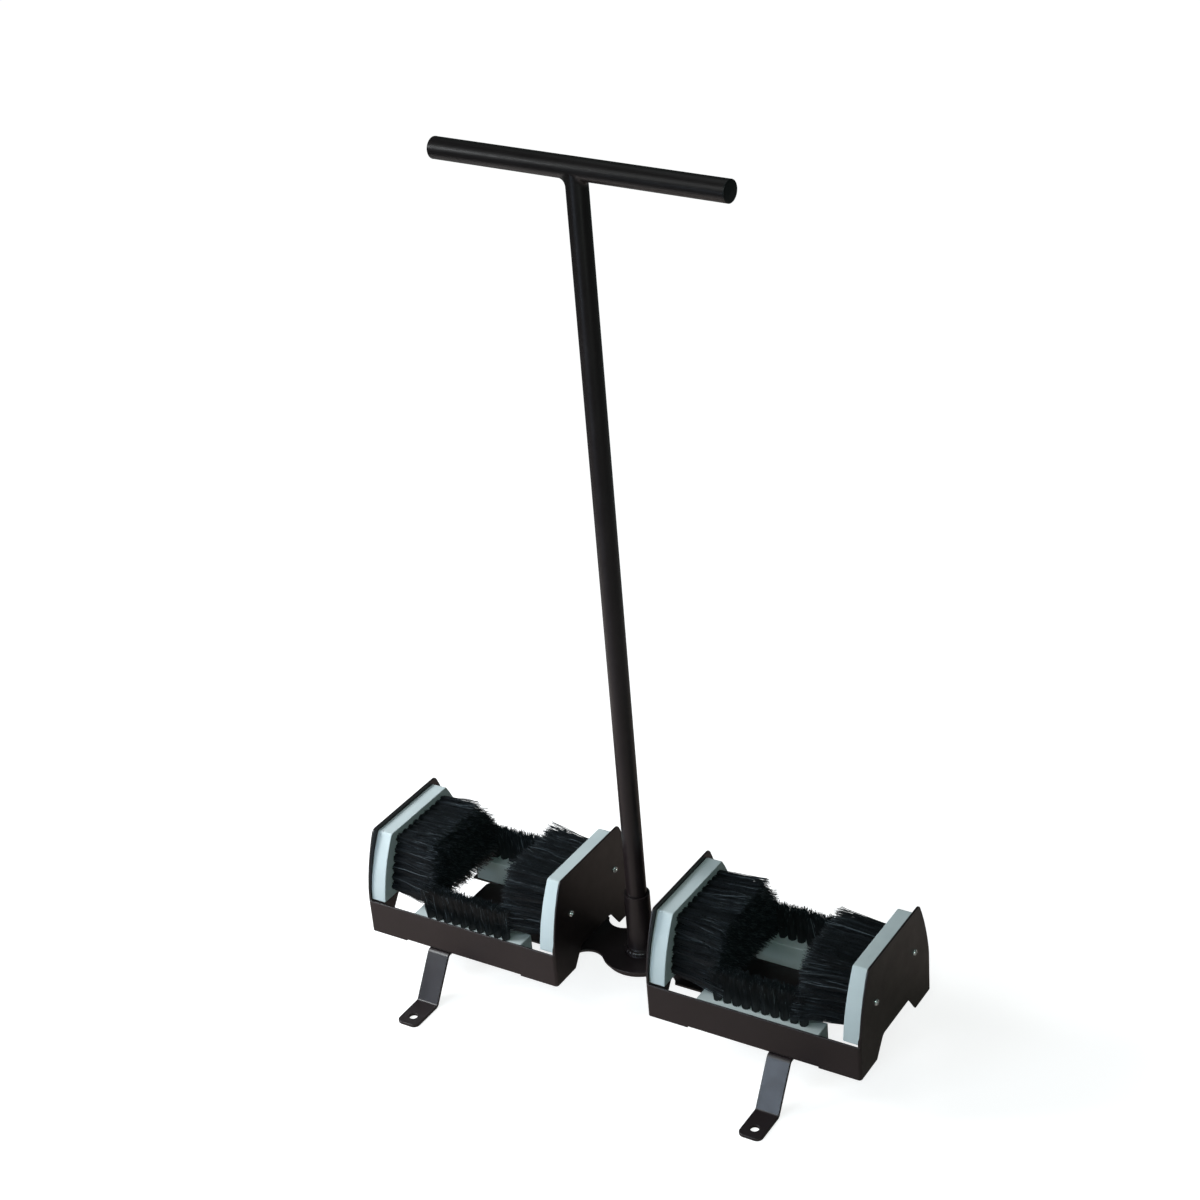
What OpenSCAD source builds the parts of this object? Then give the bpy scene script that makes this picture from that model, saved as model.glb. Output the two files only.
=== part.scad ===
// Double boot brush: two open trays of fixed brushes on one cross plate, with a T handle between
// them to hold on to. Origin on the ground under the post, +Z up, +X along the row of trays,
// +Y to the back. Lengths in millimetres, angles in degrees.

/* [Trays] */
// Outside width of one tray
tray_w = 286; // [262:1:330]
// Outside depth of one tray, front to back
tray_d = 196; // [184:1:240]
// Free space between the two trays
tray_gap = 130; // [120:1:200]
// Height of the trays' lower edge over the ground
ground_clear = 60; // [40:1:90]
// Thickness of the folded sheet
sheet_t = 2.5; // [1.5:0.1:3.5]
// Outer radius of the sheet's bends
bend_r = 4; // [3.6:0.1:6]
// Height of the low front and back walls
apron_h = 47; // [42:1:60]
// Height of the tall side walls
cheek_h = 140; // [124:1:160]
// How far a side wall's top corners stand back from its foot
cheek_inset = 28; // [12:1:36]
// Radius of a side wall's top corners
cheek_corner_r = 8; // [3:0.5:11]
// Height over the tray's lower edge at which a side wall starts to curve back
bow_start = 20; // [10:1:40]
// Height of the arch cut in a side wall's lower edge
arch_h = 25; // [22:0.5:30]
// Width of the arch along its top
arch_top_w = 72; // [50:1:84]
// Radius of the arch's upper corners
arch_top_r = 10; // [4:0.5:12]
// Width of the arch at the ground side
arch_foot_w = 108; // [96:1:124]
// Radius of the arch's lower corners
arch_foot_r = 6; // [2:0.5:9]
// Width of the flange folded inwards along a low wall's foot
flange_w = 38; // [30:1:44]
// How far that flange reaches past the ends of the brush block on it
flange_past = 6; // [1:1:20]

/* [Brush blocks] */
// Thickness of a side brush block
side_block_t = 22; // [16:0.5:28]
// Thickness of the layer of a block that its bristles are rooted in
root_layer = 3; // [2:0.5:5]
// Distance from a side wall's top edge down to its block's top
side_block_drop = 6; // [3:0.5:12]
// How far a side block's top corners stand back from the tray's face
side_block_inset = 36; // [26:1:44]
// Radius of a side block's top corners
side_block_r = 4; // [1:0.5:8]
// Length of a bottom brush block
bottom_block_l = 164; // [130:1:190]
// Depth of a bottom brush block
bottom_block_w = 32; // [28:1:42]
// Distance from the tray's face to its bottom brush block
bottom_block_in = 8; // [5:0.5:12]
// Height of a bottom brush block
bottom_block_h = 33; // [24:0.5:40]
// Free space left round a block, between it and the sheet that it faces
block_gap = 0.3; // [0.1:0.1:1]

/* [Bristles] */
// Length of the side bristles
side_bristle_l = 68; // [50:1:72]
// Thickness of a side tuft, corner to corner
side_tuft_d = 6.8; // [4:0.2:7.2]
// Distance between tufts in a row of a side brush, about
tuft_pitch = 12.5; // [12:0.5:20]
// Distance between the rows of a side brush, about
row_pitch = 12; // [12:0.5:18]
// Distance from a side block's front or back edge to its nearest tufts
tuft_side_margin = 20; // [12:1:28]
// Distance from a side block's top edge to its top row of tufts
tuft_top_margin = 12.5; // [8:0.5:18]
// Distance from a side block's lower edge to its lowest row of tufts
tuft_low_margin = 14.5; // [9:0.5:20]
// Length of the bottom bristles
bottom_bristle_l = 47; // [30:1:52]
// Number of tufts in a bottom brush
bottom_tufts = 10; // [6:1:12]
// Distance between the tufts of a bottom brush
bottom_pitch = 12.8; // [11:0.1:15]
// Distance of a bottom tuft's strands from its centre
tuft_spread = 2; // [1.8:0.1:2.3]
// Thickness of one strand of a bottom tuft, corner to corner
strand_d = 3.2; // [2:0.1:3.4]

/* [Foot straps] */
// Width of a foot strap
strap_w = 31; // [24:1:40]
// Thickness of a foot strap
strap_t = 4; // [3:0.5:6]
// Distance from a tray's outer side to the middle of its foot strap
strap_from_side = 106; // [95:1:120]
// How far the bend at the top lies outside the tray's face
strap_shoulder = 2; // [1:0.5:8]
// Distance from the tray's face to the bend where a foot meets the ground
foot_bend = 38; // [24:1:60]
// Distance from the tray's face to a foot's tip
foot_reach = 85; // [76:1:110]
// Radius of a foot's corners
foot_corner_r = 8; // [3:0.5:12]
// Diameter of the bolt hole in a foot
foot_hole_d = 11; // [6:0.5:13]
// Distance from a foot's tip to the middle of its hole
foot_hole_in = 16.5; // [12:0.5:24]

/* [Cross plate] */
// Width of the cross plate inside the trays
plate_w = 86; // [72:1:92]
// Thickness of the cross plate
plate_t = 3.5; // [2.5:0.5:5]
// Height of the cross plate's underside over the foot straps
plate_rise = 10.5; // [8:0.5:13]
// Width of the plate's neck, where it passes under the side walls
neck_w = 56; // [44:1:64]
// Radius of the hollow that narrows the plate to its neck
neck_r = 22; // [18:1:28]
// Radius of the plate's round middle
hub_r = 50; // [47:0.5:54]
// Radius of the boss under the plate's middle
boss_r = 46; // [36:1:47]
// Thickness of the boss
boss_t = 7; // [5:0.5:12]
// Width of the spacer bars between the straps and the plate
spacer_w = 25; // [16:1:30]
// Length of the spacer bars
spacer_l = 72; // [40:1:80]

/* [Handle] */
// Height of the whole object
overall_h = 1100; // [800:5:1250]
// Outside diameter of the post and of the cross bar
tube_d = 25.4; // [20:0.2:32]
// Wall of the post and of the cross bar
tube_wall = 2; // [1.2:0.1:3]
// Length of the cross bar over its end plugs
bar_l = 398; // [260:1:520]
// Angle of the cross bar to the row of trays
bar_turn = -5.7; // [-90:0.1:90]
// Thickness of an end plug's head
plug_head = 3; // [2:0.5:5]
// Length of an end plug inside the tube
plug_spigot = 16; // [8:1:24]
// Radius of the weld between the post and the bar
neck_weld = 6; // [3:0.5:8]
// Height of the socket over the cross plate
socket_h = 86; // [50:1:140]
// Wall of the socket
socket_wall = 3.5; // [2.5:0.1:5]
// Gap between the post and the socket, on the radius
post_fit = 0.1; // [0.04:0.01:0.1]
// Gap between the post's lower end and the cross plate
post_end_gap = 0.3; // [0.1:0.1:2]
// Height of the weld collar at the socket's foot
collar_h = 10; // [6:0.5:16]
// How far the weld collar stands out from the socket
collar_out = 4; // [2:0.5:7]

/* [Screws] */
// Distance between the two screws of a side block
side_screw_span = 106; // [80:1:120]
// Height of the side screws over the trays' lower edge
side_screw_z = 83; // [72:1:96]
// Diameter of a screw's shank
shank_d = 4.5; // [3:0.1:5]
// Diameter of a screw's head
screw_head_d = 8.4; // [6.5:0.1:9.5]
// Height of a screw's head
screw_head_h = 2.6; // [1.8:0.1:3.2]
// Length of a screw's shank
shank_l = 18; // [12:0.5:19]
// Gap round a screw's shank in the holes it passes
shank_gap = 0.25; // [0.1:0.05:0.5]

/* [Hidden] */
$fn = 48;

steel = [0.07, 0.07, 0.075];
block_grey = [0.66, 0.74, 0.73];
bristle_black = [0.05, 0.055, 0.06];
zinc = [0.76, 0.78, 0.8];
plug_black = [0.03, 0.03, 0.03];

arc_steps = 6;
bow_steps = 8;
small_round = 16;
tuft_uneven = 1;
droop = 1.2;
stray = 1.6;
splay = 1.5;
overlap = 1;

tray_x = tray_gap / 2 + tray_w / 2;
half_w = tray_w / 2;
half_d = tray_d / 2;
flange_l = bottom_block_l + 2 * flange_past;
apron_top = ground_clear + apron_h;
cheek_top = ground_clear + cheek_h;
bow_z = ground_clear + bow_start;

side_block_z = apron_top + block_gap;
side_block_top = cheek_top - side_block_drop;
side_block_half = half_d - sheet_t - block_gap;
side_block_set = side_block_inset - sheet_t - block_gap;
side_block_face = half_w - sheet_t - side_block_t;

bottom_block_y = half_d - bottom_block_in - bottom_block_w / 2;
bottom_block_z = ground_clear + sheet_t;
bottom_block_top = bottom_block_z + bottom_block_h;

strap_x = half_w - strap_from_side;
strap_end = half_d + foot_reach;
hole_y = strap_end - foot_hole_in;
strap_tilt = atan2(ground_clear - strap_t, foot_bend - strap_shoulder);
strap_mitre = strap_t * tan(strap_tilt / 2);

plate_z = ground_clear + plate_rise;
plate_top = plate_z + plate_t;
plate_half_l = tray_x + strap_x + strap_w / 2;
hollow_y = neck_w / 2 + neck_r;
hollow_x = sqrt(pow(hub_r + neck_r, 2) - pow(hollow_y, 2));
tangent_y = hollow_y * hub_r / (hub_r + neck_r);
plate_corner_r = 8;
boss_chamfer = 1.5;
strap_out_r = 7;
strap_in_r = 3;

tube_r = tube_d / 2;
bore_r = tube_r - tube_wall;
bar_z = overall_h - tube_r;
post_stop = 4;
weld_root = 1;
weld_reach = 0.86;
weld_steps = 6;
socket_r = tube_r + post_fit;
socket_out_r = socket_r + socket_wall;
mouth_chamfer = 1;
plug_fit = 0.1;
plug_lead = 2;
plug_flat = 0.8;
plug_edge = 0.4;

screw_hole_d = shank_d + 2 * shank_gap;
screw_tip = 3;
head_rim = 0.45;
head_shoulder = 0.85;
head_slope = 0.35;

// Points and outlines

function unit(v) = v / norm(v);

function turned(v, a) = [v.x * cos(a) - v.y * sin(a), v.x * sin(a) + v.y * cos(a)];

// Corner b of a path that comes from a and goes on to c, as an arc of radius r
function arc_corner(a, b, c, r) =
    let (
        back = unit(a - b),
        on = unit(c - b),
        half = acos(back * on) / 2,
        start = b + back * r / tan(half),
        middle = b + unit(back + on) * r / sin(half),
        way = cross(back, on) < 0 ? 1 : -1
    )
    [for (i = [0 : arc_steps]) middle + turned(start - middle, way * (180 - 2 * half) * i / arc_steps)];

// Closed path from corners [x, y, radius]
function rounded(corners) =
    let (n = len(corners), p = [for (c = corners) [c.x, c.y]])
    [for (i = [0 : n - 1], q = corners[i][2] > 0
        ? arc_corner(p[(i + n - 1) % n], p[i], p[(i + 1) % n], corners[i][2])
        : [p[i]]) q];

function box_corners(w, d, r) =
    [[-w / 2, -d / 2, r], [w / 2, -d / 2, r], [w / 2, d / 2, r], [-w / 2, d / 2, r]];

// Radius of an arc that starts upright and stands back by set after a rise
function bow_radius(set, rise) = (pow(set, 2) + pow(rise, 2)) / (2 * set);

// Distance that an arc of radius r stands back at height h over its start
function bow_set(r, h) = h <= 0 ? 0 : r - sqrt(pow(r, 2) - pow(h, 2));

// Upright edge that curves back, from low to high, as [distance from the middle, height, radius]
function bow_edge(half, start, low, high, set, r) =
    let (bow = bow_radius(set, high - start))
    [for (i = [0 : bow_steps])
        let (z = low + (high - low) * i / bow_steps)
        [half - bow_set(bow, z - start), z, i == bow_steps ? r : 0]];

function mirrored(points) =
    [for (i = [len(points) - 1 : -1 : 0]) [-points[i].x, points[i].y, points[i][2]]];

// Outline of a tall side wall, [distance to the back, height, radius]
function cheek_corners() =
    let (
        back = concat(
            [[arch_top_w / 2, ground_clear + arch_h, arch_top_r],
                [arch_foot_w / 2, ground_clear, arch_foot_r], [half_d, ground_clear, 0]],
            bow_edge(half_d, bow_z, bow_z, cheek_top, cheek_inset, cheek_corner_r)
        )
    )
    concat(back, mirrored(back));

// Outline of a side brush block
function side_block_corners() =
    let (
        edge = bow_edge(side_block_half, bow_z, side_block_z, side_block_top, side_block_set, side_block_r)
    )
    concat(edge, mirrored(edge));

// Half of a side block's width at height z
function side_block_half_at(z) =
    side_block_half - bow_set(bow_radius(side_block_set, side_block_top - bow_z), z - bow_z);

// Stands an outline in the depth and height plane and thickens it towards +X
module along_x(from, thick)
    translate([from, 0, 0])
        rotate([90, 0, 90])
            linear_extrude(thick) children();

// Copies for the left half of the object, which mirrors the right half
module side(name) {
    if (name == "left") mirror([1, 0, 0]) children();
    else children();
}

module front_and_back() {
    children();
    mirror([0, 1, 0]) children();
}

// Trays

// Closed wall of a tray seen from above
module tray_plan() {
    difference() {
        polygon(rounded(box_corners(tray_w, tray_d, bend_r)));
        polygon(rounded(box_corners(tray_w - 2 * sheet_t, tray_d - 2 * sheet_t, bend_r - sheet_t)));
    }
}

// Rounds the fold between an apron and its flange
module fold_cut() {
    translate([-flange_l / 2, -half_d, ground_clear])
        difference() {
            translate([0, -overlap, -overlap]) cube([flange_l, bend_r + overlap, bend_r + overlap]);
            translate([-overlap, bend_r, bend_r])
                rotate([0, 90, 0]) cylinder(r = bend_r, h = flange_l + 2 * overlap);
        }
}

module apron_flange() {
    translate([-flange_l / 2, -half_d, ground_clear]) cube([flange_l, flange_w, sheet_t]);
}

// Holes for the side screws, in both side walls
module side_screw_holes(from, length, d)
    for (y = [-side_screw_span / 2, side_screw_span / 2])
        translate([from, y, ground_clear + side_screw_z])
            rotate([0, 90, 0]) cylinder(d = d, h = length, $fn = small_round);

// Holes for the screws that hold the bottom blocks
module bottom_screw_holes(from, length, d)
    for (x = [-strap_x, strap_x])
        translate([x, -bottom_block_y, from]) cylinder(d = d, h = length, $fn = small_round);

module tray_shell() {
    difference() {
        union() {
            intersection() {
                translate([0, 0, ground_clear]) linear_extrude(cheek_h) tray_plan();
                union() {
                    for (x = [-half_w, half_w - bend_r])
                        along_x(x, bend_r) polygon(rounded(cheek_corners()));
                    translate([-half_w, -half_d, ground_clear]) cube([tray_w, tray_d, apron_h]);
                }
                arch_cut();
            }
            front_and_back() apron_flange();
        }
        front_and_back() fold_cut();
        side_screw_holes(-half_w - overlap, tray_w + 2 * overlap, screw_hole_d);
        front_and_back() bottom_screw_holes(ground_clear - overlap, sheet_t + 2 * overlap, screw_hole_d);
    }
}

// All that is left of the tray's height where the arches are open
module arch_cut() {
    difference() {
        translate([-half_w, -half_d, ground_clear]) cube([tray_w, tray_d, cheek_h]);
        along_x(-half_w - overlap, tray_w + 2 * overlap)
            polygon(rounded([
                [-arch_foot_w / 2, ground_clear - overlap, 0], [arch_foot_w / 2, ground_clear - overlap, 0],
                [arch_foot_w / 2, ground_clear, 0], [arch_top_w / 2, ground_clear + arch_h, arch_top_r],
                [-arch_top_w / 2, ground_clear + arch_h, arch_top_r], [-arch_foot_w / 2, ground_clear, 0]
            ]));
    }
}

module tray(name)
    color(steel) side(name) translate([tray_x, 0, 0]) tray_shell();

// Brush blocks and bristles

// Puts a part made for the outer side wall at the outer or the inner one
module at_wall(wall)
    translate([tray_x, 0, 0])
        mirror([wall == "inner" ? 1 : 0, 0, 0])
            children();

module side_block(wall)
    at_wall(wall)
        difference() {
            along_x(side_block_face + root_layer, side_block_t - root_layer)
                polygon(rounded(side_block_corners()));
            side_screw_holes(half_w - sheet_t - shank_l, shank_l + overlap, screw_hole_d);
        }

// Whether a side tuft at distance y from the middle and height z points at the bottom brush's tufts
function over_bottom(y, z) =
    abs(abs(y) - bottom_block_y) < tuft_spread + strand_d + side_tuft_d
    && z < bottom_block_top + bottom_bristle_l + side_tuft_d;

// Free length of a side tuft, shorter where it would run into the tufts of the bottom brush
function tuft_length(y, z) =
    over_bottom(y, z)
        ? min(side_bristle_l, side_block_face - bottom_pitch * bottom_tufts / 2 - tuft_spread)
        : side_bristle_l;

// Value from -1 to 1 that looks uneven from one tuft to the next
function uneven(row, place, kind) = sin(97 * place + 61 * row + 41 * kind * (place + 2 * row + 1));

// Rows of tufts that follow the block's outline: [distance to the back, height, row, place in the row]
function side_tufts() =
    let (
        low = side_block_z + tuft_low_margin,
        high = side_block_top - tuft_top_margin,
        rows = round((high - low) / row_pitch)
    )
    [for (r = [0 : rows])
        let (
            z = low + r * (high - low) / rows,
            reach = side_block_half_at(z) - tuft_side_margin,
            n = round(2 * reach / tuft_pitch)
        )
        for (i = [0 : n]) [2 * reach * i / n - reach, z, r, i]];

module side_bristles(wall)
    at_wall(wall)
        union() {
            along_x(side_block_face, root_layer) polygon(rounded(side_block_corners()));
            for (t = side_tufts())
                translate([side_block_face + overlap, t.x, t.y])
                    rotate([0, droop * uneven(t[2], t[3], 0) - 90, stray * uneven(t[2], t[3], 1)])
                        cylinder(
                            d = side_tuft_d,
                            h = tuft_length(t.x, t.y) + overlap - tuft_uneven * (1 + uneven(t[2], t[3], 2)),
                            $fn = 4);
        }

// Puts a part made for the front of a tray at its front or rear
module at_end(end)
    translate([tray_x, 0, 0])
        mirror([0, end == "rear" ? 1 : 0, 0])
            children();

module bottom_block(end)
    at_end(end)
        difference() {
            translate([-bottom_block_l / 2, -bottom_block_y - bottom_block_w / 2, bottom_block_z])
                cube([bottom_block_l, bottom_block_w, bottom_block_h - root_layer]);
            bottom_screw_holes(bottom_block_z - overlap, shank_l + overlap, screw_hole_d);
        }

module bottom_bristles(end)
    at_end(end)
        union() {
            translate([
                -bottom_block_l / 2,
                -bottom_block_y - bottom_block_w / 2,
                bottom_block_top - root_layer
            ])
                cube([bottom_block_l, bottom_block_w, root_layer]);
            for (i = [0 : bottom_tufts - 1], u = [-1, 1], v = [-1, 1])
                translate([
                    (i - (bottom_tufts - 1) / 2) * bottom_pitch + u * tuft_spread,
                    -bottom_block_y + v * tuft_spread,
                    bottom_block_top - overlap
                ])
                    rotate([-splay * v, splay * u, 0])
                        cylinder(
                            d = strand_d,
                            h = bottom_bristle_l + overlap - tuft_uneven * (1 + uneven(u + 2 * v, i, 2)),
                            $fn = 3);
        }

module block(name, place)
    color(block_grey) side(name) {
        if (place == "outer" || place == "inner") side_block(place);
        else bottom_block(place);
    }

module bristles(name, place)
    color(bristle_black) side(name) {
        if (place == "outer" || place == "inner") side_bristles(place);
        else bottom_bristles(place);
    }

// Foot straps and cross plate

// Upper line of a strap from the middle to a foot's tip, then its lower line back
function strap_corners() =
    let (
        shoulder = half_d + strap_shoulder,
        heel = half_d + foot_bend,
        upper = [[shoulder, ground_clear, strap_out_r],
            [heel, strap_t, strap_in_r], [strap_end, strap_t, 0]],
        lower = [[strap_end, 0, 0], [heel - strap_mitre, 0, strap_out_r],
            [shoulder - strap_mitre, ground_clear - strap_t, strap_in_r]]
    )
    concat(upper, lower, mirrored(lower), mirrored(upper));

module foot_strap(name)
    color(steel) side(name) translate([tray_x + strap_x, 0, 0])
        difference() {
            intersection() {
                along_x(-strap_w / 2, strap_w) polygon(rounded(strap_corners()));
                linear_extrude(ground_clear + overlap)
                    polygon(rounded(box_corners(strap_w, 2 * strap_end, foot_corner_r)));
            }
            front_and_back() {
                translate([0, -hole_y, -overlap]) cylinder(d = foot_hole_d, h = strap_t + 2 * overlap);
                translate([0, -bottom_block_y, ground_clear - strap_t - overlap])
                    cylinder(d = screw_hole_d, h = strap_t + 2 * overlap, $fn = small_round);
            }
        }

// Plate outline: round middle, hollows beside it, and straight arms
module plate_outline() {
    circle(r = hub_r);
    difference() {
        union() {
            square([2 * hollow_x, 2 * tangent_y], center = true);
            for (s = [-1, 1])
                translate([s * (hollow_x + plate_half_l) / 2, 0])
                    intersection() {
                        square([plate_half_l - hollow_x, plate_w], center = true);
                        translate([-s * plate_corner_r, 0])
                            polygon(rounded(box_corners(
                                plate_half_l - hollow_x + 2 * plate_corner_r, plate_w, plate_corner_r)));
                    }
        }
        for (x = [-hollow_x, hollow_x], y = [-hollow_y, hollow_y])
            translate([x, y]) circle(r = neck_r);
    }
}

module cross_plate()
    color(steel) translate([0, 0, plate_z]) linear_extrude(plate_t) plate_outline();

module hub_boss()
    color(steel) translate([0, 0, plate_z - boss_t])
        rotate_extrude()
            polygon([
                [0, 0], [boss_r - boss_chamfer, 0], [boss_r, boss_chamfer],
                [boss_r, boss_t], [0, boss_t]
            ]);

module spacer(name)
    color(steel) side(name)
        translate([tray_x + strap_x - spacer_w / 2, -spacer_l / 2, ground_clear])
            cube([spacer_w, spacer_l, plate_rise]);

// Socket and handle

// Half section of the socket: collar at the foot, chamfered mouth
module post_socket()
    color(steel) translate([0, 0, plate_top])
        rotate_extrude()
            polygon(concat(
                [[socket_r, 0]],
                [for (i = [0 : arc_steps])
                    let (a = 90 * i / arc_steps)
                    [socket_out_r + collar_out * (1 - pow(sin(a), 3)),
                        collar_h * (1 - pow(cos(a), 1.5))]],
                [[socket_out_r, socket_h], [socket_r + mouth_chamfer, socket_h],
                    [socket_r, socket_h - mouth_chamfer]]
            ));

module bar_frame()
    translate([0, 0, bar_z]) rotate([0, 0, bar_turn]) children();

module bar_solid(r, length)
    rotate([0, 90, 0]) cylinder(r = r, h = length, center = true);

// Flare of the weld under the bar, deepest on the bar's two sides of the post
module weld_flare()
    intersection() {
        translate([0, 0, -tube_r - neck_weld])
            rotate_extrude()
                polygon(concat(
                    [[tube_r - weld_root, 0]],
                    [for (i = [0 : arc_steps])
                        let (a = 90 * i / arc_steps)
                        [tube_r - weld_root / 2 + neck_weld * (1 - cos(a)), neck_weld * sin(a)]],
                    [[tube_r - weld_root / 2 + neck_weld, tube_r + neck_weld - post_stop],
                        [tube_r - weld_root, tube_r + neck_weld - post_stop]]
                ));
        along_x(-2 * tube_d, 4 * tube_d)
            polygon([for (i = [-weld_steps : weld_steps])
                let (y = weld_reach * i / weld_steps)
                [y * tube_r, -(tube_r + neck_weld) * sqrt(1 - pow(y, 2))]]);
    }

module handle_post()
    color(steel)
        difference() {
            union() {
                translate([0, 0, plate_top + post_end_gap])
                    cylinder(r = tube_r, h = bar_z - post_stop - plate_top - post_end_gap);
                bar_frame() weld_flare();
            }
            translate([0, 0, plate_top]) cylinder(r = bore_r, h = bar_z);
            bar_frame() bar_solid(tube_r, bar_l);
        }

module handle_bar()
    color(steel) bar_frame()
        difference() {
            bar_solid(tube_r, bar_l - 2 * plug_head);
            bar_solid(bore_r, bar_l);
        }

module end_plug(name)
    color(plug_black) bar_frame() side(name)
        translate([bar_l / 2 - plug_head, 0, 0])
            rotate([0, 90, 0])
                rotate_extrude($fn = small_round)
                    polygon(concat(
                        [[0, -plug_spigot], [bore_r - plug_lead / 2, -plug_spigot],
                            [bore_r - plug_fit, plug_lead - plug_spigot],
                            [bore_r - plug_fit, 0], [tube_r, 0]],
                        [for (i = [0 : arc_steps])
                            let (a = 90 * i / arc_steps)
                            [tube_r * (plug_flat + (1 - plug_flat) * cos(a)),
                                plug_head * plug_edge * (1 + sin(a))]],
                        [[0, plug_head]]
                    ));

// Screws

// Pan head screw along +Z with its head's underside at the origin and its shank below
module screw()
    rotate_extrude($fn = small_round)
        polygon([
            [0, -shank_l], [shank_d / 2, screw_tip - shank_l], [shank_d / 2, 0], [screw_head_d / 2, 0],
            [screw_head_d / 2, screw_head_h * head_rim],
            [screw_head_d / 2 - screw_head_h * head_slope, screw_head_h * head_shoulder],
            [screw_head_d / 4, screw_head_h], [0, screw_head_h]
        ]);

module side_block_screws()
    color(zinc)
        for (name = ["left", "right"], wall = ["outer", "inner"], s = [-1, 1])
            side(name) at_wall(wall)
                translate([half_w, s * side_screw_span / 2, ground_clear + side_screw_z])
                    rotate([0, 90, 0]) screw();

module bottom_block_screws()
    color(zinc)
        for (name = ["left", "right"], end = ["front", "rear"])
            side(name) at_end(end) {
                translate([strap_x, -bottom_block_y, ground_clear - strap_t]) rotate([180, 0, 0]) screw();
                translate([-strap_x, -bottom_block_y, ground_clear]) rotate([180, 0, 0]) screw();
            }

tray("left");  // left_tray
tray("right");  // right_tray
cross_plate();
hub_boss();
spacer("left");  // left_spacer
spacer("right");  // right_spacer
post_socket();
foot_strap("left");  // left_foot_strap
foot_strap("right");  // right_foot_strap
block("left", "outer");  // left_outer_block
block("left", "inner");  // left_inner_block
block("left", "front");  // left_front_block
block("left", "rear");  // left_rear_block
block("right", "outer");  // right_outer_block
block("right", "inner");  // right_inner_block
block("right", "front");  // right_front_block
block("right", "rear");  // right_rear_block
bristles("left", "outer");  // left_outer_bristles
bristles("left", "inner");  // left_inner_bristles
bristles("left", "front");  // left_front_bristles
bristles("left", "rear");  // left_rear_bristles
bristles("right", "outer");  // right_outer_bristles
bristles("right", "inner");  // right_inner_bristles
bristles("right", "front");  // right_front_bristles
bristles("right", "rear");  // right_rear_bristles
side_block_screws();
bottom_block_screws();
handle_post();
handle_bar();
end_plug("left");  // left_end_plug
end_plug("right");  // right_end_plug
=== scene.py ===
import bpy
import bmesh
import math
import random
import numpy as np
from mathutils import Matrix, Vector


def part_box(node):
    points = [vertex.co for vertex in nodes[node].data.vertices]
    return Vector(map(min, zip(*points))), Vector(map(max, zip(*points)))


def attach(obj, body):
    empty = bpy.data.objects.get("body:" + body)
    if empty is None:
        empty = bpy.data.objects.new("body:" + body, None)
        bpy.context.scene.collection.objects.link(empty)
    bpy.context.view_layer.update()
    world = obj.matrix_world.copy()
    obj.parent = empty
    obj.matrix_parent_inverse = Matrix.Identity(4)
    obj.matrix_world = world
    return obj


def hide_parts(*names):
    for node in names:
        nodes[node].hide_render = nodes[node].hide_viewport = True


# A boot scraper: two trays of brushes on a cross plate, and a T handle that turns in its socket

MM = 0.001

# Points nearer than this are one point, faces that bend less are one face, and planes nearer than
# this are one plane, in metres and degrees
SAME_POINT = 0.000002
SAME_FACE = 0.4
SAME_PLANE = 0.0001

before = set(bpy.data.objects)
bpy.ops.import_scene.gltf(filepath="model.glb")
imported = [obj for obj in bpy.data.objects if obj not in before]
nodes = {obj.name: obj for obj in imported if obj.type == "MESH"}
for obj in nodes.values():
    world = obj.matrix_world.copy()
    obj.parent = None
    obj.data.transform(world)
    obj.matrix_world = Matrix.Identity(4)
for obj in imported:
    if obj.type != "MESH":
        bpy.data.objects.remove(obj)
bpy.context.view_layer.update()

bpy.context.scene.view_settings.view_transform = "Standard"

# Sizes of the brushes, in millimetres, and how many bristles and tufts there are
ROOT_LAYER = 3.0
ROW_PITCH = 12.0
TUFT_PITCH = 12.5
TUFT_SIDE_MARGIN = 20.0
TUFT_TOP_MARGIN = 12.5
TUFT_LOW_MARGIN = 14.5
TUFT_R = 5.2
SIDE_BRISTLE_L = 68.0
SIDE_FIBRES = 136
BOTTOM_PITCH = 12.8
BOTTOM_TUFTS = 10
BOTTOM_TUFT_R = 4.9
BOTTOM_BRISTLE_L = 47.0
BOTTOM_FIBRES = 260
CORE_FIBRES = 5
BLOCK_EDGE_R = 1.1

# How the brushes differ, in millimetres: how far the front rows stand towards the low wall, how
# much sooner the rows of a side block end at the rear, and how much the top row of one is worn. The
# wear runs out within the topmost of this many parts of the height
ROW_SHIFT = {"left": 4.6, "right": -2.0}
REAR_BARE = {"left_inner_block": 8.0, "right_outer_block": 16.0}
TOP_WORN = {"left_outer_block": 9.0}
WORN_PARTS = 4

# A side brush's low rows, up to this share of its height, hang and are longer, and each row sags by
# itself, in millimetres
HANG_BELOW = 0.45
HANG_LONGER = 6.0
HANG_SAG = 3.2
OWN_SAG = 1.8

# A side brush's tufts fan out from its middle and from its level row, and differ in how they lean,
# in their sag in millimetres and in their length
SIDE_FAN = 0.03
FAN_HALF = 80
LEVEL_ROW = 0.45
SIDE_LEAN_SPREAD = 0.016
SAG_SPREAD = 1.2
TUFT_LENGTH = (0.98, 1.02)

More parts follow.
